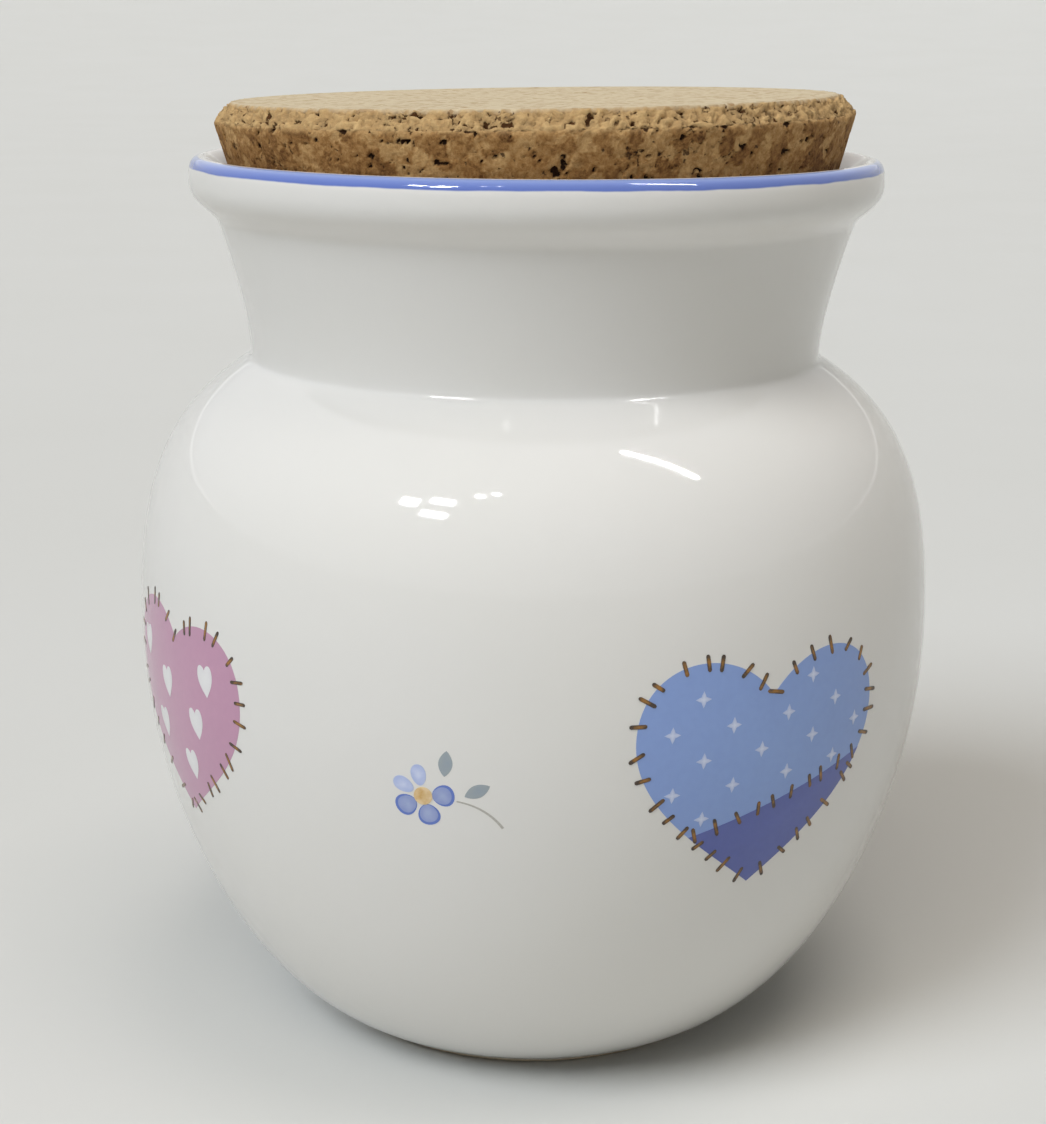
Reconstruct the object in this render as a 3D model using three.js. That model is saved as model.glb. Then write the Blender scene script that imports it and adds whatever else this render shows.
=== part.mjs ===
// Round-bellied glazed ceramic storage jar with a tapered cork lid.
// Millimetres, +Z up. The jar stands on the ground plane with its axis on Z,
// and -Y is the front.

import * as THREE from "three";

// ---------------------------------------------------------------- dimensions

// Jar, outside.
const bodyRadius = 82.5;        // widest part of the belly
const widestHeight = 85;        // height of the widest part
const footRadius = 44;          // outer edge of the foot ring
const shoulderHeight = 139.7;   // where the shoulder meets the neck
const neckRadius = 58.4;        // outside of the neck at its foot
const neckRise = 40;            // shoulder to the top of the lip
const neckFlare = 5.8;          // how much wider the neck is below the lip
const lipOverhang = 5.7;        // how far the lip stands out past the neck
const lipDepth = 13.1;          // top of the lip down to where it leaves the neck
const lipEdgeDepth = 4.4;       // top of the lip down to its outermost line
const lipCrest = 2.7;           // outermost line of the lip in to its highest one
const creaseRounding = 2;       // hollow fillet between shoulder and neck

// Clay thickness, floor and foot ring.
const bodyWall = 4.6;
const neckWall = 5.5;
const floorThickness = 6.5;
const footRingWidth = 8;
const footRecess = 2.5;         // hollow inside the foot ring
const footRounding = 1.2;

// Cork lid. It wedges in the mouth, so its radius follows the mouth's.
const lidTaper = THREE.MathUtils.degToRad(16);
const lidThickness = 33;
const lidProud = 11.5;          // lid's top above the lip
const lidChamferHeight = 3.4;
const lidChamferWidth = 2.9;
const lidEdgeRounding = 0.8;    // worn lower edge
const lidTilt = THREE.MathUtils.degToRad(1.1);   // it is pushed in a little askew

// Fit between the cork and the mouth.
const lidClearance = 0.9;       // radial gap at the seat, enough for the tilt
const seatDepth = 17.7;         // top of the lip to the middle of the seat
const seatHalfLength = 4;

// Curve handles. The first six are shares of the span that the curve crosses.
const footReach = 0.5;
const footLift = 0.09;
const bellyFullness = 0.45;
const shoulderFullness = 0.55;
const shoulderReach = 0.72;
const shoulderDrop = 0.2;
const neckBow = 1.4;            // power of the neck's flare: 1 is a plain cone
const neckHandle = 7;
const funnelHandle = 9;
const lipRootHandle = 3;
const lipEdgeHandle = 5;
const lipCornerRise = 3.3;
const lipCornerReach = 1.9;
const lipCrestHandle = 1.6;

// Facets.
const turnSegments = 64;
const bellySteps = 11;
const neckSteps = 4;
const lipSteps = 5;
const roundingSteps = 3;

// ------------------------------------------------------------------- helpers

// Points along a cubic curve in the radius-height plane, without its first.
function curve(start, startHandle, endHandle, end, steps) {
  const corners = [start, startHandle, endHandle, end];
  const bend = new THREE.CubicBezierCurve(...corners.map(([r, z]) => new THREE.Vector2(r, z)));
  return bend.getPoints(steps).slice(1).map((point) => [point.x, point.y]);
}

// A closed solid turned about Z from a list of [radius, height] points that
// starts and ends on the axis.
function turned(profile) {
  const points = profile.map(([r, z]) => new THREE.Vector2(r, z));
  const geometry = new THREE.LatheGeometry(points, turnSegments);
  geometry.rotateX(Math.PI / 2);
  return geometry;
}

// ----------------------------------------------------------- derived heights

const lipTop = shoulderHeight + neckRise;
const lipRoot = lipTop - lipDepth;
const neckTopRadius = neckRadius + neckFlare;
const lipRadius = neckTopRadius + lipOverhang;
const crest = [lipRadius - lipCrest, lipTop];

// The seat is a cone cut into the mouth at the cork's own taper, one neck wall
// inside the outer flare at the same height.
const seatHeight = lipTop - seatDepth;
const flareAtSeat = neckFlare * (seatHeight - shoulderHeight) / (lipRoot - shoulderHeight);
const seatRadius = neckRadius + flareAtSeat - neckWall;
const seatSlope = Math.tan(lidTaper);
const onSeatCone = (up) => [seatRadius + seatSlope * up, seatHeight + up];

// --------------------------------------------------------------- ceramic jar

// The belly and shoulder, from the foot or floor edge up to the neck.
function belly(low, widest, neck, neckEnd) {
  const width = widest[0] - low[0];
  const rise = neck[1] - widest[1];
  return [
    ...curve(
      low,
      [low[0] + width * footReach, low[1] + widest[1] * footLift],
      [widest[0], widest[1] * (1 - bellyFullness)],
      widest,
      bellySteps,
    ),
    ...curve(
      widest,
      [widest[0], widest[1] + rise * shoulderFullness],
      [neck[0] + (widest[0] - neck[0]) * shoulderReach, neck[1] - rise * shoulderDrop],
      neckEnd,
      bellySteps,
    ),
  ];
}

// The neck's outside opens upwards by a power curve.
function neckOutside(foot) {
  const steps = Array.from({ length: neckSteps }, (_, step) => (step + 1) / neckSteps);
  return steps.map((share) => [
    neckRadius + neckFlare * share ** neckBow,
    foot[1] + (lipRoot - foot[1]) * share,
  ]);
}

// Outside of the pot, from the foot ring up to the crest of the lip.
function jarOutside() {
  const crease = [neckRadius, shoulderHeight];
  const shoulderSlope = (shoulderHeight - widestHeight) * shoulderDrop
    / ((bodyRadius - neckRadius) * shoulderReach);
  const shoulderEnd = [neckRadius + creaseRounding, shoulderHeight - creaseRounding * shoulderSlope];
  const neckFoot = [neckRadius, shoulderHeight + creaseRounding];
  const neckTop = [neckTopRadius, lipRoot];
  const lipEdge = [lipRadius, lipTop - lipEdgeDepth];
  return [
    [footRadius - footRounding, 0],
    [footRadius, footRounding],
    ...belly([footRadius, footRounding], [bodyRadius, widestHeight], crease, shoulderEnd),
    ...curve(shoulderEnd, crease, crease, neckFoot, roundingSteps),
    ...neckOutside(neckFoot),
    ...curve(
      neckTop,
      [neckTopRadius + lipRootHandle * seatSlope, lipRoot + lipRootHandle],
      [lipRadius, lipEdge[1] - lipEdgeHandle],
      lipEdge,
      lipSteps,
    ),
    ...curve(
      lipEdge,
      [lipRadius, lipEdge[1] + lipCornerRise],
      [crest[0] + lipCornerReach, lipTop],
      crest,
      lipSteps,
    ),
  ];
}

// Inside, from the crest of the lip down the funnel-shaped mouth, past the
// seat and the neck to the middle of the floor. The lower part is the belly
// curve walked downwards.
function jarInside() {
  const neckInner = neckRadius - neckWall;
  const corner = [neckInner, shoulderHeight - bodyWall];
  const underShoulder = [neckInner + bodyWall, corner[1] - bodyWall / 2];
  const floorEdge = [footRadius - bodyWall, floorThickness];
  const insideBelly = belly(floorEdge, [bodyRadius - bodyWall, widestHeight], corner, underShoulder);
  return [
    ...curve(
      crest,
      [crest[0] - lipCrestHandle, lipTop],
      onSeatCone(seatHalfLength + funnelHandle),
      onSeatCone(seatHalfLength),
      lipSteps,
    ),
    onSeatCone(-seatHalfLength),
    ...curve(
      onSeatCone(-seatHalfLength),
      onSeatCone(-seatHalfLength - neckHandle),
      [neckInner, shoulderHeight + neckHandle],
      [neckInner, shoulderHeight],
      neckSteps,
    ),
    ...curve([neckInner, shoulderHeight], corner, corner, underShoulder, roundingSteps),
    ...insideBelly.slice(0, -1).reverse(),
    floorEdge,
    [0, floorThickness],
  ];
}

const recessRadius = footRadius - footRounding - footRingWidth;
const jarProfile = [
  [0, footRecess],
  [recessRadius - footRecess, footRecess],
  [recessRadius, 0],
  ...jarOutside(),
  ...jarInside(),
];

const glaze = new THREE.MeshStandardMaterial({ color: 0xe6e6e3, roughness: 0.15, metalness: 0 });
const ceramicJar = new THREE.Mesh(turned(jarProfile), glaze);
ceramicJar.name = "ceramic_jar";

// ------------------------------------------------------------------ cork lid

// The lid is drawn about the middle of its seat, and tilted about that point.
const lidUp = lipTop + lidProud - seatHeight;
const lidDown = lidUp - lidThickness;
const lidShoulder = lidUp - lidChamferHeight;
const lidRadiusAt = (up) => seatRadius - lidClearance + seatSlope * up;

const lidProfile = [
  [0, lidDown],
  [lidRadiusAt(lidDown) - lidEdgeRounding, lidDown],
  [lidRadiusAt(lidDown + lidEdgeRounding), lidDown + lidEdgeRounding],
  [lidRadiusAt(lidShoulder), lidShoulder],
  [lidRadiusAt(lidShoulder) - lidChamferWidth, lidUp],
  [0, lidUp],
];

const cork = new THREE.MeshStandardMaterial({ color: 0xb08c5d, roughness: 0.9, metalness: 0 });
const corkLid = new THREE.Mesh(turned(lidProfile), cork);
corkLid.name = "cork_lid";
corkLid.position.set(0, 0, seatHeight);
corkLid.rotation.y = -lidTilt;

// ------------------------------------------------------------------ assembly

const jarWithLid = new THREE.Group();
jarWithLid.add(ceramicJar, corkLid);

export default jarWithLid;
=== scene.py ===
import itertools
import math

import bpy
import numpy as np
from mathutils import Matrix, Vector


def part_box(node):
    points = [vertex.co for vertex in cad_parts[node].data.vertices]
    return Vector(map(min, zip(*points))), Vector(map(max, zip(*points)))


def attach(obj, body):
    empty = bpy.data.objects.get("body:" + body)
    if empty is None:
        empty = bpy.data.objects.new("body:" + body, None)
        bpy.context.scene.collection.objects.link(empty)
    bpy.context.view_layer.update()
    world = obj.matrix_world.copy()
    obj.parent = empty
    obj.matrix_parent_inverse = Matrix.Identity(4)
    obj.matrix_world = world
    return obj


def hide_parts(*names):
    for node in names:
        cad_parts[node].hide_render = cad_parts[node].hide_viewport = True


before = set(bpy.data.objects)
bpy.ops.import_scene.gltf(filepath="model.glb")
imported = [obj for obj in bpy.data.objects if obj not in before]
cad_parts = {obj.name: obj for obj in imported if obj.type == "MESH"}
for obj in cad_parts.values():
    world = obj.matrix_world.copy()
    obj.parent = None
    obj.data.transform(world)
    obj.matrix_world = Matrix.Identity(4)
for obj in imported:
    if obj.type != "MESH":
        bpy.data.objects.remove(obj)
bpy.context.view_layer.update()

# A round-bellied white stoneware storage jar with a cork lid. Metres, +Z up, -Y is the front.
mm = 0.001
scene = bpy.context.scene
scene.view_settings.view_transform = "Standard"


# ---------------------------------------------------------------- camera
# It stands close in front of the jar, a little above the lip, and looks down at the belly.

camera_at = Vector((0, -420.6, 205.6)) * mm
camera_tilt = math.radians(14.82)     # down from level
camera_turn = math.radians(0.3)       # to the left
camera_roll = math.radians(0.37)

camera = bpy.data.objects.new("camera", bpy.data.cameras.new("camera"))
camera.data.sensor_width = 36
camera.data.lens = 65.34
camera.data.clip_start = 10 * mm
camera.matrix_world = (
    Matrix.Translation(camera_at)
    @ Matrix.Rotation(camera_turn, 4, "Z")
    @ Matrix.Rotation(math.pi / 2 - camera_tilt, 4, "X")
    @ Matrix.Rotation(camera_roll, 4, "Z")
)
scene.collection.objects.link(camera)
scene.camera = camera


# ---------------------------------------------------------------- floor
# A wide matt board, pale and plain, that the jar stands on. Far away it rises like a dish, so that
# no edge or sky shows behind the jar.

floor_flat = 3.0               # radius of the level part
floor_reach = 13.0             # radius of the rim
floor_rise = 2.4               # height of the rim
floor_thickness = 20 * mm
floor_rings = 33
floor_turns = 96
floor_grey = "#d3d3d0"
rolled_grey = "#cfcfcb"        # where the roller left more paint
sharp_angle = math.radians(35)  # edges that turn more than this stay sharp


def linear(colour):
    """An sRGB hex colour as linear RGBA, by the sRGB standard's two-part curve."""
    srgb = np.array([int(colour[place:place + 2], 16) for place in (1, 3, 5)]) / 255
    rgb = np.where(srgb <= 0.04045, srgb / 12.92, ((srgb + 0.055) / 1.055) ** 2.4)
    return (*rgb, 1.0)


def add_node(tree, kind, settings=None, links=None):
    """Adds one shader node. In settings a lower-case name is a property of the node, and any
    other name or number is an input with its value. links gives the output that feeds an input.
    A Mix has its factor at input 0. Its colours are inputs 6 and 7, with the result at output 2,
    and its numbers are inputs 2 and 3, with the result at output 0."""
    made = tree.nodes.new("ShaderNode" + kind)
    for name, value in (settings or {}).items():
        if isinstance(name, str) and name.islower():
            setattr(made, name, value)
        else:
            made.inputs[name].default_value = value
    for name, source in (links or {}).items():
        tree.links.new(source, made.inputs[name])
    return made


def new_material(name, settings):
    """A material with its shader's own sockets set, and the node tree, the shader and the
    object coordinates that its patterns read."""
    material = bpy.data.materials.new(name)
    material.use_nodes = True
    tree = material.node_tree
    shader = tree.nodes["Principled BSDF"]
    for socket, value in settings.items():
        shader.inputs[socket].default_value = value
    place = add_node(tree, "TexCoord").outputs["Object"]
    return material, tree, shader, place


def new_object(name, points, faces, material):
    """A mesh object at the origin from an array of points and lists of their numbers."""
    mesh = bpy.data.meshes.new(name)
    mesh.from_pydata(points.tolist(), [], faces)
    mesh.validate()
    mesh.materials.append(material)
    made = bpy.data.objects.new(name, mesh)
    scene.collection.objects.link(made)
    return made


def painted_board():
    """Matt emulsion on board: even, with the faintest unevenness of the roller."""
    material, tree, shader, place = new_material(
        "matt_painted_board", {"Roughness": 0.9, "IOR": 1.5, "Specular IOR Level": 0.2}
    )
    cloud = add_node(tree, "TexNoise", {"Scale": 6.0, "Detail": 3.0}, {"Vector": place})
    tint = add_node(
        tree, "Mix",
        {"data_type": "RGBA", 6: linear(floor_grey), 7: linear(rolled_grey)},
        {0: cloud.outputs["Fac"]},
    )
    tree.links.new(tint.outputs[2], shader.inputs["Base Color"])
    return material


def turned(profile, turns):
    """Rings of points, one for each radius and height of the profile, turned about the axis."""
    angle = np.arange(turns) * 2 * math.pi / turns
    rings = np.empty((len(profile), turns, 3))
    rings[..., 0] = profile[:, :1] * np.cos(angle)
    rings[..., 1] = profile[:, :1] * np.sin(angle)
    rings[..., 2] = profile[:, 1:]
    return rings


def closed_rings(rings, first, last):
    """Points and faces of a closed surface: rings joined by four-sided faces, with a fan of
    triangles to one point at each end. It faces outwards if the rings turn anticlockwise, seen
    from the last end."""
    count, turns = rings.shape[:2]
    points = np.concatenate([rings.reshape(-1, 3), [first, last]])
    here = np.arange(turns)
    after = np.roll(here, -1)
    row = np.arange(count - 1)[:, None] * turns
    quads = np.stack([row + here, row + after, row + turns + after, row + turns + here], axis=-1)
    start, end = count * turns, count * turns + 1
    top = (count - 1) * turns
    fans = np.concatenate([
        np.stack([np.full(turns, start), after, here], axis=1),
        np.stack([np.full(turns, end), top + here, top + after], axis=1),
    ])
    return points, quads.reshape(-1, 4).tolist() + fans.tolist()


# From the level part to the rim, the height grows with the square of the distance.
dish = np.linspace(1, 0, floor_rings)[:, None]
dish_radius = floor_flat + (floor_reach - floor_flat) * dish
floor_profile = np.concatenate([
    [(floor_reach, -floor_thickness)],
    np.concatenate([dish_radius, floor_rise * dish**2], axis=1),
])
floor = new_object(
    "floor",
    *closed_rings(turned(floor_profile, floor_turns), (0, 0, -floor_thickness), (0, 0, 0)),
    painted_board(),
)
floor.data.shade_smooth()
floor.data.set_sharp_from_angle(angle=sharp_angle)


# ---------------------------------------------------------------- light
# Cool daylight from the front left, warmer light from above and from the right, a dim room round
# them, and a ceiling, panes and a tube that only the gloss sees.

room_brightness = 0.08
light_target = Vector((0, 0, 100)) * mm
light_distance = 2.0

room = bpy.data.worlds.new("room")
scene.world = room
room.use_nodes = True
room.node_tree.nodes["Background"].inputs["Color"].default_value = linear("#f4f1ea")
room.node_tree.nodes["Background"].inputs["Strength"].default_value = room_brightness


def light_from(turn, rise):
    """The direction of a light seen turn degrees right of the front and rise degrees up."""
    turn, rise = math.radians(turn), math.radians(rise)
    level = math.cos(rise)
    return Vector((math.sin(turn) * level, -math.cos(turn) * level, math.sin(rise)))


def add_light(name, kind, turn, rise, **settings):
    """A light aimed at the jar's belly, from turn degrees right of the front and rise degrees
    up."""
    made = bpy.data.objects.new(name, bpy.data.lights.new(name, kind))
    for setting, value in settings.items():
        setattr(made.data, setting, value)
    towards = light_from(turn, rise)
    made.matrix_world = (
        Matrix.Translation(light_target + towards * light_distance)
        @ towards.to_track_quat("Z", "Y").to_matrix().to_4x4()
    )
    scene.collection.objects.link(made)
    return made


# Name, turn, rise, power, colour and apparent width in degrees of each soft light.
soft_lights = [
    ("window", -47, 45, 2.02, "#eef6ff", 27),
    ("lamp", -20, 60, 0.73, "#fff8ef", 30),
    ("skylight", 60, 77, 1.0, "#fff9f2", 30),
]
for name, turn, rise, power, colour, width in soft_lights:
    made = add_light(
        name, "SUN", turn, rise,
        energy=power, color=linear(colour)[:3], angle=math.radians(width),
    )
    made.visible_glossy = False

# Shape, turn, rise, width, height, brightness and spread in degrees of what the gloss shows: five
# panes, a light tube, and the round, pale ceiling, which dims outwards to the rim of the floor.
reflected = [
    ("RECTANGLE", -44, 42.5, 0.14, 0.12, 120, 180),
    ("RECTANGLE", -33, 45.5, 0.20, 0.09, 120, 180),
    ("RECTANGLE", -33.5, 38.4, 0.22, 0.08, 120, 180),
    ("RECTANGLE", -21, 51.0, 0.06, 0.04, 120, 180),
    ("RECTANGLE", -15, 53.0, 0.06, 0.04, 120, 180),
    ("RECTANGLE", 66, 60.0, 0.05, 0.78, 120, 180),
    ("ELLIPSE", 0, 90.0, 25.0, 25.0, 0.76, 173.5),
]
for number, (shape, turn, rise, width, height, brightness, spread) in enumerate(reflected):
    made = add_light(
        f"reflected_{number}", "AREA", turn, rise,
        shape=shape, size=width, size_y=height, spread=math.radians(spread),
        energy=math.pi * brightness * width * height,
    )
    made.visible_diffuse = False
    made.visible_camera = False


# ---------------------------------------------------------------- jar
# Slip-cast white stoneware, one piece: a round belly on a turned foot ring, a short flared neck
# and a rolled lip. It is dipped in clear glaze and stands on its bare foot.

jar_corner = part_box("ceramic_jar")[1]
body_radius = jar_corner.x
lip_top = jar_corner.z
widest_height = 85 * mm
shoulder_height = 139.7 * mm
foot_radius = 44 * mm
neck_radius = 58.4 * mm
neck_flare = 5.8 * mm
neck_bow = 1.4                 # power of the neck's flare: 1 is a plain cone
crease_rounding = 2 * mm
lip_overhang = 5.7 * mm
lip_depth = 13.1 * mm          # top of the lip down to where it leaves the neck
lip_edge_depth = 4.4 * mm      # top of the lip down to its outermost line
lip_crest = 2.7 * mm           # outermost line in to the highest one
body_wall = 4.6 * mm
neck_wall = 5.5 * mm
floor_of_jar = 6.5 * mm
foot_ring_width = 8 * mm
foot_recess = 2.5 * mm
foot_rounding = 1.2 * mm
mouth_taper = math.radians(16)
seat_depth = 17.7 * mm         # top of the lip down to the middle of the cork's seat
seat_half_length = 4 * mm
jar_turns = 256

# Handles of the curves. The first six are shares of the span that the curve crosses.
foot_reach = 0.5
foot_lift = 0.09
belly_fullness = 0.45
shoulder_fullness = 0.55
shoulder_reach = 0.72
shoulder_drop = 0.2
neck_handle = 7 * mm
funnel_handle = 9 * mm
lip_root_handle = 3 * mm
lip_edge_handle = 5 * mm
lip_corner_rise = 3.3 * mm
lip_corner_reach = 1.9 * mm
lip_crest_handle = 1.6 * mm

seat_slope = math.tan(mouth_taper)
seat_height = lip_top - seat_depth
neck_top_radius = neck_radius + neck_flare
lip_root = lip_top - lip_depth
lip_radius = neck_top_radius + lip_overhang
crest_radius = lip_radius - lip_crest
flare_at_seat = neck_flare * (seat_height - shoulder_height) / (lip_root - shoulder_height)
seat_radius = neck_radius + flare_at_seat - neck_wall


def bend(start, start_handle, end_handle, end, steps):
    """Points of a cubic curve, without its start: its four corners, weighted by (1-t)^3,
    3(1-t)^2 t, 3(1-t) t^2 and t^3 as t runs from 0 to 1."""
    t = np.linspace(0, 1, steps + 1)[1:, None]
    start, start_handle, end_handle, end = map(np.array, (start, start_handle, end_handle, end))
    return (
        (1 - t) ** 3 * start + 3 * (1 - t) ** 2 * t * start_handle
        + 3 * (1 - t) * t**2 * end_handle + t**3 * end
    )


def on_seat_cone(up):
    """Radius and height of the mouth's cone, up from the middle of the seat."""
    return seat_radius + seat_slope * up, seat_height + up


def belly(low, widest, neck, neck_end, steps=56):
    """Radius and height from the foot or floor edge, over the widest line, to the neck: two
    cubic curves that meet upright at the widest line."""
    width = widest[0] - low[0]
    rise = neck[1] - widest[1]
    lower = bend(
        low,
        (low[0] + width * foot_reach, low[1] + widest[1] * foot_lift),
        (widest[0], widest[1] * (1 - belly_fullness)),
        widest,
        steps,
    )
    upper = bend(
        widest,
        (widest[0], widest[1] + rise * shoulder_fullness),
        (neck[0] + (widest[0] - neck[0]) * shoulder_reach, neck[1] - rise * shoulder_drop),
        neck_end,
        steps,
    )
    return np.concatenate([lower, upper])


def jar_outside():
    """Radius and height of the outer wall, from the foot's outer edge to the lip's crest: cubic
    curves, and on the neck a radius that grows with a power of the height."""
    slope = (
        (shoulder_height - widest_height) * shoulder_drop
        / ((body_radius - neck_radius) * shoulder_reach)
    )
    crease = (neck_radius, shoulder_height)
    shoulder_end = (neck_radius + crease_rounding, shoulder_height - crease_rounding * slope)
    neck_foot = (neck_radius, shoulder_height + crease_rounding)
    lip_edge = (lip_radius, lip_top - lip_edge_depth)
    share = np.linspace(0, 1, 25)[1:]
    neck_height = neck_foot[1] + (lip_root - neck_foot[1]) * share
    neck = np.stack([neck_radius + neck_flare * share**neck_bow, neck_height], axis=1)
    foot_edge = (foot_radius, foot_rounding)
    return np.concatenate([
        bend(
            (foot_radius - foot_rounding, 0),
            (foot_radius - foot_rounding / 2, 0),
            (foot_radius - foot_rounding * 0.1, foot_rounding / 2),
            foot_edge,
            6,
        ),
        belly(foot_edge, (body_radius, widest_height), crease, shoulder_end),
        bend(shoulder_end, crease, crease, neck_foot, 12),
        neck,
        bend(
            (neck_top_radius, lip_root),
            (neck_top_radius + lip_root_handle * seat_slope, lip_root + lip_root_handle),
            (lip_radius, lip_edge[1] - lip_edge_handle),
            lip_edge,
            24,
        ),
        bend(
            lip_edge,
            (lip_radius, lip_edge[1] + lip_corner_rise),
            (crest_radius + lip_corner_reach, lip_top),
            (crest_radius, lip_top),
            16,
        ),
    ])


def jar_inside():
    """Radius and height of the inner wall, from the lip's crest down the funnel of the mouth,
    past the seat and the neck, and down the belly curve to the edge of the jar's floor. Every
    third point of the belly curve is enough in there."""
    neck_inner = neck_radius - neck_wall
    corner = (neck_inner, shoulder_height - body_wall)
    under_shoulder = (neck_inner + body_wall, corner[1] - body_wall / 2)
    floor_edge = (foot_radius - body_wall, floor_of_jar)
    wall = belly(floor_edge, (body_radius - body_wall, widest_height), corner, under_shoulder)
    return np.concatenate([
        bend(
            (crest_radius, lip_top),
            (crest_radius - lip_crest_handle, lip_top),
            on_seat_cone(seat_half_length + funnel_handle),
            on_seat_cone(seat_half_length),
            16,
        ),
        bend(
            on_seat_cone(-seat_half_length),
            on_seat_cone(-seat_half_length - neck_handle),
            (neck_inner, shoulder_height + neck_handle),
            (neck_inner, shoulder_height),
            12,
        ),
        bend((neck_inner, shoulder_height), corner, corner, under_shoulder, 8),
        wall[-2::-3],
        [floor_edge],
    ])


def out_of_round(points):
    """Shrinks each point towards the axis by up to 0.14% of its radius, by two slow waves
    round the jar that turn a little with height, as kiln heat leaves it."""
    angle = np.arctan2(points[..., 1], points[..., 0])
    height = points[..., 2]
    squash = 0.0004 * (1 - np.cos(2 * angle + 0.7 + 12 * height))
    ripple = 0.0003 * (1 - np.cos(3 * angle - 25 * height))
    shrunk = 1 - squash - ripple
    return points * np.stack([shrunk, shrunk, np.ones_like(angle)], axis=-1)


def glazed_stoneware():
    """White stoneware under clear glaze: hard, wet-looking gloss over an off-white body, faint
    clouding, a few iron specks, a brushed blue line round the lip and a bare, rough foot."""
    material, tree, shader, place = new_material(
        "clear_glazed_white_stoneware", {"IOR": 1.52, "Specular IOR Level": 0.5}
    )
    link = tree.links.new
    split = add_node(tree, "SeparateXYZ", links={0: place})
    height = split.outputs["Z"]
    level = add_node(tree, "VectorMath", {"operation": "MULTIPLY", 1: (1, 1, 0)}, {0: place})
    reach = add_node(tree, "VectorMath", {"operation": "LENGTH"}, {0: level.outputs[0]})
    radius = reach.outputs["Value"]

    # Glaze body: two near whites in soft clouds 60 mm across, and here and there an iron speck
    # up to 0.6 mm across, never more than one to a cell 13 mm wide.
    cloud = add_node(tree, "TexNoise", {"Scale": 16.0, "Detail": 3.0}, {"Vector": place})
    body = add_node(
        tree, "Mix",
        {"data_type": "RGBA", 6: linear("#dcdad7"), 7: linear("#d9d7d1")},
        {0: cloud.outputs["Fac"]},
    )
    speck_cell = add_node(tree, "TexVoronoi", {"Scale": 75.0}, {"Vector": place})
    speck_size = add_node(
        tree, "MapRange",
        {"From Min": 0.80, "From Max": 1.0, "To Min": 0.0, "To Max": 0.022},
        {"Value": speck_cell.outputs["Color"]},
    )
    speck = add_node(
        tree, "Math", {"operation": "LESS_THAN"},
        {0: speck_cell.outputs["Distance"], 1: speck_size.outputs[0]},
    )
    speckled = add_node(
        tree, "Mix",
        {"data_type": "RGBA", 7: linear("#8d8478")},
        {0: speck.outputs[0], 6: body.outputs[2]},
    )

    # Blue line: brushed on the outside of the lip, with edges that waver by about 0.1 mm. It is
    # paler towards the crest, where the glaze runs thin and the lip faces up: partly painted
    # light.
    stroke = add_node(tree, "TexNoise", {"Scale": 90.0, "Detail": 2.0}, {"Vector": place})
    waver = add_node(
        tree, "MapRange",
        {"From Min": 0.3, "From Max": 0.7, "To Min": -0.12 * mm, "To Max": 0.12 * mm},
        {"Value": stroke.outputs["Fac"]},
    )
    wavering = add_node(tree, "Math", {"operation": "ADD"}, {0: height, 1: waver.outputs[0]})
    above = add_node(
        tree, "MapRange",
        {"From Min": lip_top - 2.05 * mm, "From Max": lip_top - 1.8 * mm},
        {"Value": wavering.outputs[0]},
    )
    below = add_node(
        tree, "MapRange",
        {"From Min": crest_radius + 0.5 * mm, "From Max": crest_radius + 0.8 * mm},
        {"Value": radius},
    )
    line = add_node(
        tree, "Math", {"operation": "MULTIPLY"}, {0: above.outputs[0], 1: below.outputs[0]}
    )
    # Paler near the crest: thinner glaze there, and painted light on the lip's upward-facing top.
    thin_glaze_and_lit_top = add_node(
        tree, "MapRange",
        {"From Min": crest_radius + 2.5 * mm, "From Max": crest_radius + 0.9 * mm},
        {"Value": radius},
    )
    blue = add_node(
        tree, "Mix",
        {"data_type": "RGBA", 6: linear("#4f67b6"), 7: linear("#8a9ed1")},
        {0: thin_glaze_and_lit_top.outputs[0]},
    )
    painted = add_node(
        tree, "Mix", {"data_type": "RGBA"},
        {0: line.outputs[0], 6: speckled.outputs[2], 7: blue.outputs[2]},
    )

    # Foot: the lowest millimetre is wiped clean of glaze and shows the buff, sandy clay.
    grit = add_node(tree, "TexNoise", {"Scale": 900.0, "Detail": 4.0}, {"Vector": place})
    bare = add_node(
        tree, "MapRange",
        {"From Min": 1.1 * mm, "From Max": 0.8 * mm},
        {"Value": wavering.outputs[0]},
    )
    clay = add_node(
        tree, "Mix",
        {"data_type": "RGBA", 6: linear("#b9a88f"), 7: linear("#cdbfa8")},
        {0: grit.outputs["Fac"]},
    )
    surface = add_node(
        tree, "Mix", {"data_type": "RGBA"},
        {0: bare.outputs[0], 6: painted.outputs[2], 7: clay.outputs[2]},
    )
    link(surface.outputs[2], shader.inputs["Base Color"])

    rough = add_node(
        tree, "MapRange", {"To Min": 0.055, "To Max": 0.85}, {"Value": bare.outputs[0]}
    )
    link(rough.outputs[0], shader.inputs["Roughness"])

    # The glaze lies in slow swells 25 mm long; the bare clay is gritty.
    swell = add_node(tree, "TexNoise", {"Scale": 38.0, "Detail": 1.0}, {"Vector": place})
    wet = add_node(
        tree, "Bump", {"Strength": 0.18, "Distance": 1.0 * mm}, {"Height": swell.outputs["Fac"]}
    )
    sandy = add_node(
        tree, "Bump", {"Distance": 0.2 * mm},
        {"Strength": bare.outputs[0], "Height": grit.outputs["Fac"], "Normal": wet.outputs[0]},
    )
    link(sandy.outputs[0], shader.inputs["Normal"])
    return material


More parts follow.
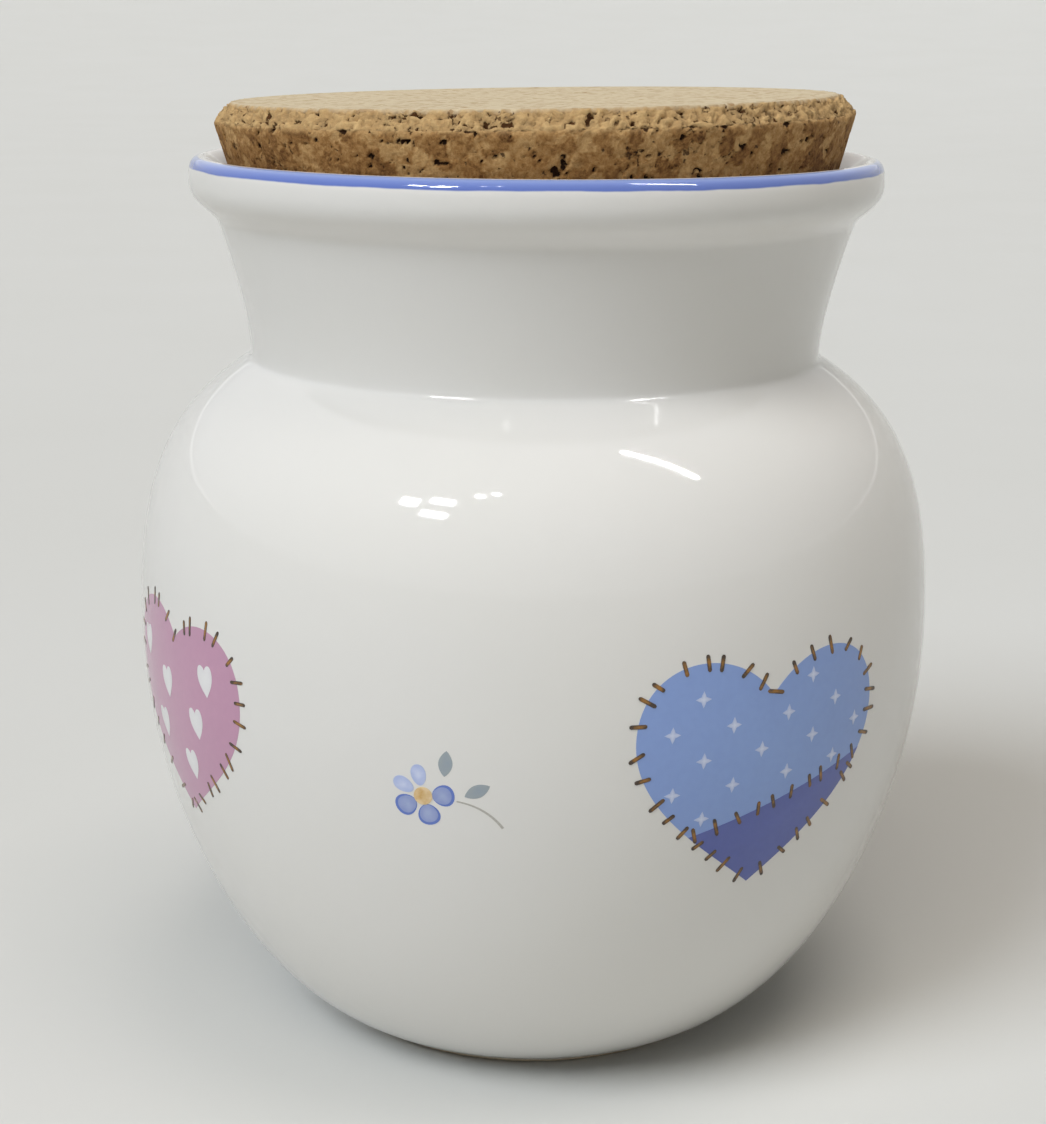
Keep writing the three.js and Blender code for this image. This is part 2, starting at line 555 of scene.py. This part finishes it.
recess_radius = foot_radius - foot_rounding - foot_ring_width
jar_profile = np.concatenate([
    [(recess_radius * 0.5, foot_recess)],
    bend(
        (recess_radius - foot_recess, foot_recess),
        (recess_radius - foot_recess * 0.6, foot_recess),
        (recess_radius, foot_recess * 0.6),
        (recess_radius, 0),
        6,
    ),
    [(foot_radius - foot_rounding, 0)],
    jar_outside(),
    jar_inside(),
    [(20 * mm, floor_of_jar)],
])
jar_rings = out_of_round(turned(jar_profile, jar_turns))
jar = new_object(
    "stoneware_jar",
    *closed_rings(jar_rings, (0, 0, foot_recess), (0, 0, floor_of_jar)),
    glazed_stoneware(),
)
jar.data.shade_smooth()
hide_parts("ceramic_jar")
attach(jar, "jar")


# ---------------------------------------------------------------- printed motifs
# Ceramic transfers, printed in flat colours, slid on to the wet glaze and fired in: two patchwork
# hearts with a five-petalled flower between them, and the same strip again on the back.

print_lift = 0.035 * mm            # each colour lies this much above the one below it
print_root = 0.35 * mm             # how deep a print's hidden back lies in the clay
strip_turns = (0, 180)             # degrees round the jar from the front strip

# Degrees to the right of the front, distance up the wall from the widest line, and tilt.
blue_place = (32.2, 10 * mm, -0.03)
pink_place = (-56.7, 9.4 * mm, -0.055)
flower_place = (-13.7, -13.0 * mm, 0)

# Spacing, length and width of the stitches.
blue_stitch = (4.7 * mm, 3.4 * mm, 0.78 * mm)
seam_stitch = (4.2 * mm, 3.4 * mm, 0.78 * mm)
pink_stitch = (4.5 * mm, 3.5 * mm, 0.68 * mm)


def wall_table():
    """The outer belly as four arrays: distance up the wall from the widest line, radius, height,
    and the angle of the outward normal above level."""
    wall = belly(
        (foot_radius, foot_rounding),
        (body_radius, widest_height),
        (neck_radius, shoulder_height),
        (neck_radius + crease_rounding, shoulder_height),
    )
    step = np.hypot(*np.diff(wall, axis=0).T)
    along = np.concatenate([[0], np.cumsum(step)])
    along -= np.interp(widest_height, wall[:, 1], along)
    rise = np.arctan2(-np.gradient(wall[:, 0]), np.gradient(wall[:, 1]))
    return along, wall[:, 0], wall[:, 1], rise


wall_along, wall_radius, wall_height, wall_rise = wall_table()


def on_belly(flat, lift):
    """Places flat points on the wall: x is the distance round the widest line from the front,
    and y the distance up the wall from that line. They are raised along the wall's normal."""
    angle = flat[..., 0] / body_radius - math.pi / 2
    radius = np.interp(flat[..., 1], wall_along, wall_radius)
    height = np.interp(flat[..., 1], wall_along, wall_height)
    rise = np.interp(flat[..., 1], wall_along, wall_rise)
    at = np.stack([radius * np.cos(angle), radius * np.sin(angle), height], axis=-1)
    level = np.cos(rise)
    out = np.stack([np.cos(angle) * level, np.sin(angle) * level, np.sin(rise)], axis=-1)
    return out_of_round(at) + out * lift


def printed(name, outlines, layer, steps, material):
    """One colour of the transfer. Each outline runs anticlockwise, and all of it can be seen from
    its middle. Rings that shrink to the middle fill it, in front on the wall and behind inside
    the clay. The attribute across is 0 in the middle and 1 at the rim."""
    outlines = np.asarray(outlines)
    middle = outlines.mean(axis=1, keepdims=True)
    share = np.linspace(0, 1, steps + 1)[1:]
    points, faces, across, start = [], [], [], 0
    for outline, centre in zip(outlines, middle):
        rings = centre + (outline - centre) * share[:, None, None]
        front = on_belly(rings, print_lift * layer)
        back = on_belly(rings, -print_root)
        first = on_belly(centre, -print_root)[0]
        last = on_belly(centre, print_lift * layer)[0]
        shell, quads = closed_rings(np.concatenate([back, front[::-1]]), first, last)
        points.append(shell)
        faces.extend([number + start for number in face] for face in quads)
        ring_share = np.concatenate([share, share[::-1]])
        across.append(np.append(np.repeat(ring_share, outlines.shape[1]), [0, 0]))
        start += len(shell)
    made = new_object(name, np.concatenate(points), faces, material)
    ink = made.data.attributes.new("across", "FLOAT", "POINT")
    ink.data.foreach_set("value", np.concatenate(across))
    made.data.shade_smooth()
    made.data.set_sharp_from_angle(angle=sharp_angle)
    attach(made, "jar")


def transfer_ink(name, middle_colour, edge_colour, mottle=0.5):
    """Fired ceramic ink: as glossy as the glaze it sank into, a little uneven where it was
    squeezed through the screen, and shaded from the middle of each shape to its edge."""
    material, tree, shader, place = new_material(name, {"IOR": 1.52, "Roughness": 0.07})
    across = add_node(tree, "Attribute", {"attribute_name": "across"}).outputs["Fac"]
    grain = add_node(tree, "TexNoise", {"Scale": 700.0, "Detail": 3.0}, {"Vector": place})
    uneven = add_node(
        tree, "MapRange",
        {"From Min": 0.3, "From Max": 0.7, "To Min": -mottle, "To Max": mottle},
        {"Value": grain.outputs["Fac"]},
    )
    share = add_node(
        tree, "Math", {"operation": "ADD", "use_clamp": True}, {0: across, 1: uneven.outputs[0]}
    )
    ink = add_node(
        tree, "Mix",
        {"data_type": "RGBA", 6: linear(middle_colour), 7: linear(edge_colour)},
        {0: share.outputs[0]},
    )
    tree.links.new(ink.outputs[2], shader.inputs["Base Color"])
    return material


def place_flat(outlines, turn, up, tilt=0.0):
    """Turns flat outlines by tilt, anticlockwise, and moves them turn degrees round the jar and
    up the wall."""
    turned_by = np.array([[math.cos(tilt), math.sin(tilt)], [-math.sin(tilt), math.cos(tilt)]])
    return outlines @ turned_by + (math.radians(turn) * body_radius, up)


def heart(width, height, dip, steps):
    """A heart's outline, anticlockwise from its tip, height below the origin. Two cubic curves
    make the right half: a flank from the tip to the widest point, at 0.29 of the height, and a
    lobe over the top to the notch, dip below the origin. The left half mirrors the right."""
    tip, notch = (0, -height), (0, -dip)
    side = (width / 2, -height * 0.29)
    flank = bend(tip, (width * 0.21, -height * 0.80), (width / 2, -height * 0.59), side, steps)
    lobe = bend(side, (width / 2, height * 0.055), (width * 0.17, height * 0.115), notch, steps)
    right = np.concatenate([flank, lobe])
    left = right[-2::-1] * (-1, 1)
    return np.concatenate([right, left, [tip]])


def stitches(path, spacing, length, width, rng):
    """Straight dashes across a path, evenly spaced but for a hand's unevenness: each is a
    rounded bar of eight points, square to the path give or take a quarter of a radian."""
    step = np.hypot(*np.diff(path, axis=0).T)
    along = np.concatenate([[0], np.cumsum(step)])
    count = round(along[-1] / spacing)
    where = (np.arange(count) + 0.5 + rng.uniform(-0.27, 0.27, count)) * along[-1] / count
    middle, ahead = (
        np.stack([np.interp(at, along, path[:, axis]) for axis in (0, 1)], axis=1)
        for at in (where, where + 0.5 * mm)
    )
    way = np.arctan2(*(ahead - middle).T[::-1]) + math.pi / 2 + rng.normal(0, 0.26, count)
    half = length / 2 * rng.uniform(0.8, 1.15, count)
    bar_x = np.array([-1, -0.8, 0.8, 1, 1, 0.8, -0.8, -1])
    bar_y = np.array([-0.5, -1, -1, -0.5, 0.5, 1, 1, 0.5]) * width / 2
    x = bar_x * half[:, None]
    across = np.stack([np.cos(way), np.sin(way)], axis=1)[:, None]
    beside = np.stack([-np.sin(way), np.cos(way)], axis=1)[:, None]
    return middle[:, None] + x[..., None] * across + bar_y[None, :, None] * beside


def lattice(column, row, stagger, start, tilt):
    """Middles of a pattern's figures: rows of them about a first one, every other row moved by
    a share of a column, turned by tilt."""
    rows = np.arange(-8, 9)
    x, y = np.meshgrid(np.arange(-6, 7) * column, rows * row)
    straight = np.stack([x + (rows % 2)[:, None] * column * stagger, y], axis=-1).reshape(-1, 2)
    return place_flat(straight, 0, 0, tilt) + start


def inside(points, outline, margin):
    """Which points lie in an outline and at least a margin from it: a point is in when the
    outline's edges cross the ray to its right an odd number of times."""
    start, end = outline, np.roll(outline, -1, axis=0)
    x, y = points[:, :1], points[:, 1:]
    spans = (start[:, 1] > y) != (end[:, 1] > y)
    fall = np.where(start[:, 1] == end[:, 1], 1, end[:, 1] - start[:, 1])
    crossing = x < start[:, 0] + (y - start[:, 1]) / fall * (end[:, 0] - start[:, 0])
    gap = np.hypot(x - start[:, 0], y - start[:, 1]).min(axis=1)
    return ((spans & crossing).sum(axis=1) % 2 == 1) & (gap > margin)


# Blue heart: starred cloth, with a plain darker patch sewn over its tip.
blue_size = (54.8 * mm, 45 * mm, 6.5 * mm)   # width, height and dip
seam_rise = -28 * mm               # height of the patch's seam on the heart's middle line
seam_slant = 0.28
rng = np.random.default_rng(7)

blue_outline = heart(*blue_size, 40)
seam_height = seam_rise + seam_slant * blue_outline[:, 0]
tip_edge = blue_outline[blue_outline[:, 1] < seam_height]
tip_edge = np.roll(tip_edge, -np.argmin(tip_edge[:, 0]), axis=0)
seam = tip_edge[-1] + (tip_edge[0] - tip_edge[-1]) * np.linspace(0, 1, 40)[:, None]
patch_outline = np.concatenate([tip_edge, seam[1:-1]])
blue_stitches = np.concatenate([
    stitches(blue_outline, *blue_stitch, rng),
    stitches(seam, *seam_stitch, rng),
])

# Stars: four thin points, on slanting rows. Their reach goes up and down with the angle.
star_angle = np.arange(16) * math.pi / 8
star_reach = 1.6 * mm * np.tile([1, 0.58, 0.42, 0.58], 4)
star = np.stack([star_reach * np.cos(star_angle), star_reach * np.sin(star_angle)], axis=1)
star_middles = lattice(12.2 * mm, 5.87 * mm, 0.5, (10.2 * mm, -15.9 * mm), 0.07)
star_middles = star_middles[inside(star_middles, blue_outline, 2.4 * mm)]
over_seam = star_middles[:, 1] - (seam_rise + seam_slant * star_middles[:, 0])
stars = star_middles[over_seam > 1.5 * mm][:, None] + star

# Pink heart: cloth with small white hearts, a little askew.
pink_size = (45.9 * mm, 40.8 * mm, 3.6 * mm)
small_size = (5.0 * mm, 6.2 * mm, 0.9 * mm)
pink_outline = heart(*pink_size, 40)
pink_stitches = stitches(pink_outline, *pink_stitch, rng)
small_heart = place_flat(heart(*small_size, 8) + (0, small_size[1] / 2), 0, 0, 0.2)
small_middles = lattice(13.2 * mm, 10.7 * mm, 0, (8.4 * mm, -18.9 * mm), -0.37)
small_middles = small_middles[inside(small_middles, pink_outline, 3.4 * mm)]
small_hearts = small_middles[:, None] + small_heart

# Flower: five round petals about a speckled eye, three deep and two pale, with two leaves and a
# bent stalk.
deep_turns = (5, 212, 285)         # degrees from level
pale_turns = (100, 152)
loop = np.arange(24) * 2 * math.pi / 24


def petal(turn, reach, long, wide):
    """An egg-shaped petal that points away from the flower's middle: an ellipse whose outer
    half is a little wider, turned by turn degrees."""
    x = reach + long / 2 * np.cos(loop)
    y = wide / 2 * np.sin(loop) * (1 + 0.14 * np.cos(loop))
    return place_flat(np.stack([x, y], axis=1), 0, 0, math.radians(turn))


def leaf(long, wide):
    """A pointed leaf, long from end to end: two equal bows, each a sine to the power 0.8."""
    t = np.linspace(0, 1, 13)[:-1]
    bow = wide / 2 * np.sin(math.pi * t) ** 0.8
    lower = np.stack([(t - 0.5) * long, -bow], axis=1)
    return np.concatenate([lower, -lower])


petal_rims = np.stack([petal(turn, 3.8 * mm, 4.2 * mm, 4.2 * mm) for turn in deep_turns])
petals = np.stack([petal(turn, 3.55 * mm, 3.6 * mm, 3.4 * mm) for turn in deep_turns])
pale_petals = np.stack([petal(turn, 4.1 * mm, 4.1 * mm, 2.8 * mm) for turn in pale_turns])
eye = np.stack([np.cos(loop), np.sin(loop)], axis=1) * 1.75 * mm
leaves = np.stack([
    leaf(5.0 * mm, 2.6 * mm) @ [[0.1, 1], [-1, 0.1]] + (4.3 * mm, 6.6 * mm),
    leaf(5.2 * mm, 2.5 * mm) @ [[0.89, 0.45], [-0.45, 0.89]] + (10.0 * mm, 1.6 * mm),
])

# The stalk is a chain of four-sided links along a curve, and thickens towards its end.
stalk_corners = np.array([(6.2, -0.6), (9.5, -1.0), (12.5, -2.6), (14.6, -5.6)]) * mm
stalk_line = np.concatenate([stalk_corners[:1], bend(*stalk_corners, 14)])
stalk_side = np.gradient(stalk_line, axis=0)[:, ::-1] * (1, -1)
stalk_side /= np.linalg.norm(stalk_side, axis=1, keepdims=True)
stalk_side *= np.linspace(0.13, 0.26, len(stalk_line))[:, None] * mm
lower, upper = stalk_line + stalk_side, stalk_line - stalk_side
stalk = np.stack([lower[:-1], lower[1:], upper[1:], upper[:-1]], axis=1)


def on_both_sides(*figures):
    """Outlines on the front strip, and the same ones on the back strip. Each figure is its
    outlines and the three numbers of its place."""
    return np.concatenate([
        place_flat(outlines, turn + strip, up, tilt)
        for strip in strip_turns for outlines, turn, up, tilt in figures
    ])


printed(
    "blue_heart_print",
    on_both_sides((blue_outline[None], *blue_place)),
    1, 26, transfer_ink("blue_ceramic_ink", "#86a0d4", "#829bd0", 0.3),
)
printed(
    "dark_patch_print",
    on_both_sides((patch_outline[None], *blue_place)),
    2, 14, transfer_ink("indigo_ceramic_ink", "#5965a8", "#5560a2", 0.3),
)
printed(
    "star_print",
    on_both_sides((stars, *blue_place)),
    2, 1, transfer_ink("pale_ceramic_ink", "#ccd4e8", "#aebbdc", 0.2),
)
printed(
    "pink_heart_print",
    on_both_sides((pink_outline[None], *pink_place)),
    1, 22, transfer_ink("pink_ceramic_ink", "#bd90a8", "#b98ca5", 0.3),
)
printed(
    "small_heart_print",
    on_both_sides((small_hearts, *pink_place)),
    2, 2, transfer_ink("white_ceramic_ink", "#dfdede", "#dad8d9", 0.2),
)
printed(
    "stitch_print",
    on_both_sides((blue_stitches, *blue_place), (pink_stitches, *pink_place)),
    3, 1, transfer_ink("brown_ceramic_ink", "#96682a", "#43352a", 0.6),
)
printed(
    "petal_rim_print",
    on_both_sides((petal_rims, *flower_place)),
    1, 2, transfer_ink("deep_blue_ceramic_ink", "#6c80c4", "#5f76bd", 0.2),
)
printed(
    "petal_print",
    on_both_sides((petals, *flower_place)),
    2, 3, transfer_ink("soft_blue_ceramic_ink", "#9ca8cc", "#8896c4", 0.25),
)
printed(
    "pale_petal_print",
    on_both_sides((pale_petals, *flower_place)),
    2, 3, transfer_ink("pale_blue_ceramic_ink", "#c3cbe4", "#aab6dc", 0.3),
)
printed(
    "flower_eye_print",
    on_both_sides((eye[None], *flower_place)),
    3, 3, transfer_ink("ochre_ceramic_ink", "#c79f62", "#dcc398", 0.6),
)
printed(
    "leaf_print",
    on_both_sides((leaves, *flower_place)),
    1, 2, transfer_ink("grey_green_ceramic_ink", "#8f9ba6", "#98a0a4", 0.3),
)
printed(
    "stalk_print",
    on_both_sides((stalk, *flower_place)),
    1, 1, transfer_ink("grey_ceramic_ink", "#a7a49c", "#b2afa7", 0.2),
)


# ---------------------------------------------------------------- cork lid
# One tapered disc cut from a block of pressed cork granules. Its faces are sanded, its side and
# chamfer are rasped, so granules stand proud there and some have fallen out.

cork_gap = 0.9 * mm            # between the cork and the mouth, at the seat
cork_proud = 11.5 * mm         # top of the cork above the lip
cork_thickness = 33 * mm
cork_chamfer_height = 3.4 * mm
cork_chamfer_width = 2.9 * mm
cork_worn_edge = 0.8 * mm
cork_tilt = math.radians(1.1)
cork_turns = 900
granule_size = 2.7 * mm
crumb_size = 1.6 * mm          # bends in the granules' outlines
pit_size = 1.7 * mm
lump_size = 1.5 * mm
chip_size = 1.5 * mm

# Heights on the cork are measured up from the middle of its seat.
cork_seat_radius = seat_radius - cork_gap
cork_top = lip_top + cork_proud - seat_height
cork_bottom = cork_top - cork_thickness


def scatter(cells, salt):
    """Three random numbers from 0 to 1 for each cell of a lattice, by mixing its three whole
    numbers as a hash does."""
    salts = (np.arange(1, 4) * 2654435761 + salt * 97531).astype(np.uint64)
    x, y, z = (cells[..., axis].astype(np.int64).astype(np.uint64) for axis in range(3))
    mixed = x * np.uint64(73856093) ^ y * np.uint64(19349663) ^ z * np.uint64(83492791)
    mixed = (mixed[..., None] ^ salts) * np.uint64(0x9E3779B97F4A7C15)
    mixed = (mixed ^ (mixed >> np.uint64(29))) * np.uint64(0xBF58476D1CE4E5B9)
    return ((mixed >> np.uint64(40)) % np.uint64(65536)).astype(float) / 65535


def granules(points, size, salt):
    """Distance to the nearest and next nearest of the points strewn one to each cube of a
    lattice, in lattice steps, and a random number that belongs to the nearest."""
    base = np.floor(points / size)
    nearest = np.full(len(points), 9.0)
    second = nearest.copy()
    own = np.zeros(len(points))
    for step in itertools.product((-1, 0, 1), repeat=3):
        cell = base + step
        gap = np.linalg.norm(points / size - cell - scatter(cell, salt), axis=1)
        closer = gap < nearest
        second = np.where(closer, nearest, np.minimum(second, gap))
        own = np.where(closer, scatter(cell, salt + 1)[:, 0], own)
        nearest = np.where(closer, gap, nearest)
    return nearest, second, own


def clouds(points, size, salt):
    """Smooth noise from 0 to 1: random numbers at a lattice's corners, blended by 3t^2 - 2t^3."""
    place = points / size
    base = np.floor(place)
    share = place - base
    share = share * share * (3 - 2 * share)
    total = np.zeros(len(points))
    for corner in itertools.product((0, 1), repeat=3):
        weight = np.prod(np.where(corner, share, 1 - share), axis=1)
        total += weight * scatter(base + corner, salt)[:, 0]
    return total


def soft_step(low, high, value):
    """0 below low, 1 above high, and 3t^2 - 2t^3 between."""
    share = np.clip((value - low) / (high - low), 0, 1)
    return share * share * (3 - 2 * share)


def cork_radius(up):
    """Radius of the cork's side at a height: it tapers as the mouth does."""
    return cork_seat_radius + seat_slope * up


def fine_clouds(points, size, salt):
    """Three layers of smooth noise from 0 to 1, each half as large and weaker than the last."""
    layers = [clouds(points, size / 2**layer, salt + layer) for layer in range(3)]
    return 0.5 * layers[0] + 0.3 * layers[1] + 0.2 * layers[2]


def cork_profile():
    """Radius and height of the cork's outline with its corners worn round (a running mean over
    1 mm), its outward normals, and how far each ring is rasped, not sanded, and how crumbly."""
    shoulder = cork_top - cork_chamfer_height
    corners = np.array([
        (0, cork_bottom),
        (cork_radius(cork_bottom) - cork_worn_edge, cork_bottom),
        (cork_radius(cork_bottom + cork_worn_edge), cork_bottom + cork_worn_edge),
        (cork_radius(shoulder), shoulder),
        (cork_radius(shoulder) - cork_chamfer_width, cork_top),
        (0, cork_top),
    ])
    reach = np.concatenate([[0], np.cumsum(np.hypot(*np.diff(corners, axis=0).T))])
    fine = np.arange(0, reach[-1], 0.1 * mm)
    line = np.stack([np.interp(fine, reach, corners[:, axis]) for axis in (0, 1)], axis=1)
    worn = line.copy()
    window = np.ones(11) / 11
    for axis in (0, 1):
        worn[5:-5, axis] = np.convolve(line[:, axis], window, "valid")
    along = np.gradient(worn, axis=0)
    normal = np.stack([along[:, 1], -along[:, 0]], axis=1)
    normal /= np.linalg.norm(normal, axis=1, keepdims=True)
    chamfer_end = 1 - soft_step(reach[4] + 0.1 * mm, reach[4] + 1.2 * mm, fine)
    rasped = soft_step(reach[1] - 1 * mm, reach[1] + 1 * mm, fine) * chamfer_end
    crumbly = soft_step(reach[3] - 1.4 * mm, reach[3] + 0.6 * mm, fine) * chamfer_end

    # Rings lie closest from a little below the lip up to the chamfer's upper edge.
    in_jar = reach[3] - 12 * mm
    stops = np.concatenate([
        np.linspace(3 * mm, reach[1] - 1 * mm, 8, endpoint=False),
        np.linspace(reach[1] - 1 * mm, in_jar, 20, endpoint=False),
        np.arange(in_jar, reach[4] + 1.5 * mm, 0.4 * mm),
        reach[4] + 1.5 * mm + (reach[5] - reach[4] - 4 * mm) * np.linspace(0, 1, 24) ** 1.3,
    ])
    columns = (*worn.T, *normal.T, rasped, crumbly)
    picked = [np.interp(stops, fine, column) for column in columns]
    return np.stack(picked[:2], axis=1), np.stack(picked[2:4], axis=1), picked[4], picked[5]


def cork_relief(points, rasped, crumbly):
    """Depth of the surface below the lid's outline, how much of it is an open pit or crack, and
    a random number for each granule. Depths are weighted sums in millimetres. Granules lie at
    different depths, cracks follow some of their borders, pits are where layered noise is
    highest, and sanded faces keep a trace of each. Flat chips, 1.7 times as wide as high, are
    torn out of the chamfer, the deeper ones darker."""
    warp = np.stack([clouds(points, crumb_size, salt) for salt in (11, 12, 13)], axis=1) - 0.5
    near, second, own = granules(points + warp * 1.5 * mm, granule_size, 21)
    some = soft_step(0.50, 0.70, clouds(points, 4 * mm, 31))
    crack = (1 - soft_step(0.0, 0.11, second - near)) * some
    pit = soft_step(0.665, 0.72, fine_clouds(points, pit_size, 41))
    lump = fine_clouds(points, lump_size, 51)
    flattened = (points + warp * 2.2 * mm) * (1, 1, 1.7)
    chip_near, chip_second, chip = granules(flattened, chip_size, 61)
    torn = 1 - soft_step(0.0, 0.22, chip_second - chip_near)

    depth = rasped * (0.22 * own + 0.35 * crack + 0.9 * pit + 0.45 * lump)
    depth += crumbly * (0.3 * lump + 0.85 * chip + 0.4 * torn)
    own = own + crumbly * (1 - chip - own)
    crack = np.maximum(crack, crumbly * torn * soft_step(0.45, 0.7, chip))
    depth += (1 - rasped) * (0.04 * crack + 0.08 * pit + 0.03 * lump)
    proud = rasped * (1 - pit) * (1 - soft_step(0.2, 0.5, lump))
    depth -= 0.3 + 0.35 * proud
    shown = 0.25 + 0.75 * rasped
    return np.maximum(depth, 0) * mm, np.maximum(crack * 0.55, pit) * shown, own


def pressed_cork():
    """Agglomerated cork: brown granules from straw to bark, dull and dry, with dark gaps and
    flecks. Sanded faces are paler because dust fills their pores, and partly by painted sheen."""
    material, tree, shader, place = new_material(
        "pressed_cork", {"IOR": 1.4, "Roughness": 0.9, "Specular IOR Level": 0.2}
    )
    link = tree.links.new
    granule, open_pit, rasped, crumbly = (
        add_node(tree, "Attribute", {"attribute_name": name}).outputs["Fac"]
        for name in ("granule", "open_pit", "rasped", "crumbly")
    )

    # Grain: noise of 1 mm and finer, and the tone of each granule a little. Dust makes the
    # crumbly chamfer paler.
    grain = add_node(
        tree, "TexNoise", {"Scale": 1000.0, "Detail": 5.0, "Roughness": 0.75}, {"Vector": place}
    )
    tone = add_node(
        tree, "Mix", {"data_type": "FLOAT", 0: 0.72}, {2: granule, 3: grain.outputs["Fac"]}
    )
    bark = add_node(tree, "ValToRGB", links={"Fac": tone.outputs[0]})
    ramp = bark.color_ramp.elements
    ramp[0].position, ramp[0].color = 0.3, linear("#654120")
    ramp[1].position, ramp[1].color = 0.7, linear("#cca671")
    middle = ramp.new(0.48)
    middle.color = linear("#a27847")
    dusty = add_node(
        tree, "MapRange", {"To Min": 0.0, "To Max": 0.4}, {"Value": crumbly}
    )
    dusted = add_node(
        tree, "Mix",
        {"data_type": "RGBA", 7: linear("#dbbf8c")},
        {0: dusty.outputs[0], 6: bark.outputs[0]},
    )

    # Sanded faces: dusty straw with painted sheen, and fine brown flecks about 1 mm wide.
    fleck = add_node(tree, "TexVoronoi", {"Scale": 800.0}, {"Vector": place})
    flecks = add_node(
        tree, "MapRange",
        {"From Min": 0.55, "From Max": 0.95, "To Min": 0.0, "To Max": 0.85},
        {"Value": fleck.outputs["Color"]},
    )
    sanded_and_sheen = add_node(
        tree, "Mix",
        {"data_type": "RGBA", 6: linear("#cdbea0"), 7: linear("#a18059")},
        {0: flecks.outputs[0]},
    )
    skin = add_node(
        tree, "Mix", {"data_type": "RGBA"}, {0: rasped, 6: sanded_and_sheen.outputs[2], 7: dusted.outputs[2]}
    )

    # Gaps: the pits and cracks of the relief, their edges frayed by the grain, and smaller
    # flecks of bark between them.
    frayed = add_node(
        tree, "MapRange",
        {"From Min": 0.3, "From Max": 0.7, "To Min": 0.3, "To Max": -0.3},
        {"Value": grain.outputs["Fac"]},
    )
    gap_edge = add_node(tree, "Math", {"operation": "ADD"}, {0: open_pit, 1: frayed.outputs[0]})
    gap = add_node(
        tree, "MapRange", {"From Min": 0.42, "From Max": 0.62}, {"Value": gap_edge.outputs[0]}
    )
    spot = add_node(
        tree, "TexNoise", {"Scale": 520.0, "Detail": 3.0, "Roughness": 0.6, "Distortion": 0.4},
        {"Vector": place},
    )
    spots = add_node(
        tree, "MapRange",
        {"From Min": 0.655, "From Max": 0.70, "To Max": 0.8},
        {"Value": spot.outputs["Fac"]},
    )
    side_spots = add_node(
        tree, "Math", {"operation": "MULTIPLY"}, {0: spots.outputs[0], 1: rasped}
    )
    dark = add_node(
        tree, "Math", {"operation": "MAXIMUM"}, {0: gap.outputs[0], 1: side_spots.outputs[0]}
    )
    shade = add_node(
        tree, "Mix",
        {"data_type": "RGBA", 6: linear("#352112"), 7: linear("#5a3b20")},
        {0: crumbly},
    )
    pitted = add_node(
        tree, "Mix", {"data_type": "RGBA"},
        {0: dark.outputs[0], 6: skin.outputs[2], 7: shade.outputs[2]},
    )
    link(pitted.outputs[2], shader.inputs["Base Color"])

    # Relief too fine for the mesh: crumbs on the rasped side, and less on the sanded faces.
    coarse = add_node(
        tree, "MapRange", {"To Min": 0.3, "To Max": 1.0}, {"Value": rasped}
    )
    hollow = add_node(
        tree, "Math", {"operation": "MULTIPLY_ADD", 1: -0.6},
        {0: dark.outputs[0], 2: grain.outputs["Fac"]},
    )
    crumb = add_node(
        tree, "Bump", {"Distance": 0.5 * mm},
        {"Strength": coarse.outputs[0], "Height": hollow.outputs[0]},
    )
    link(crumb.outputs[0], shader.inputs["Normal"])
    return material


outline, outline_normal, ring_rasped, ring_crumbly = cork_profile()
cork_rings = turned(outline, cork_turns)
cork_normals = turned(outline_normal, cork_turns)
rasped = np.repeat(ring_rasped, cork_turns)
crumbly = np.repeat(ring_crumbly, cork_turns)
depth, open_pit, granule = cork_relief(cork_rings.reshape(-1, 3), rasped, crumbly)
cork_rings -= cork_normals * depth.reshape(len(outline), cork_turns, 1)
cork_points, cork_faces = closed_rings(cork_rings, (0, 0, cork_bottom), (0, 0, cork_top))

# The cork is tilted about the middle of its seat, with its right side up.
lean = np.array([
    (math.cos(cork_tilt), 0, -math.sin(cork_tilt)),
    (0, 1, 0),
    (math.sin(cork_tilt), 0, math.cos(cork_tilt)),
])
cork_points = cork_points @ lean.T + (0, 0, seat_height)
cork = new_object("cork_stopper", cork_points, cork_faces, pressed_cork())
cork_values = {"granule": granule, "open_pit": open_pit, "rasped": rasped, "crumbly": crumbly}
for attribute, values in cork_values.items():
    made = cork.data.attributes.new(attribute, "FLOAT", "POINT")
    made.data.foreach_set("value", np.append(values, [0, 0]))
cork.data.shade_smooth()
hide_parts("cork_lid")
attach(cork, "lid")
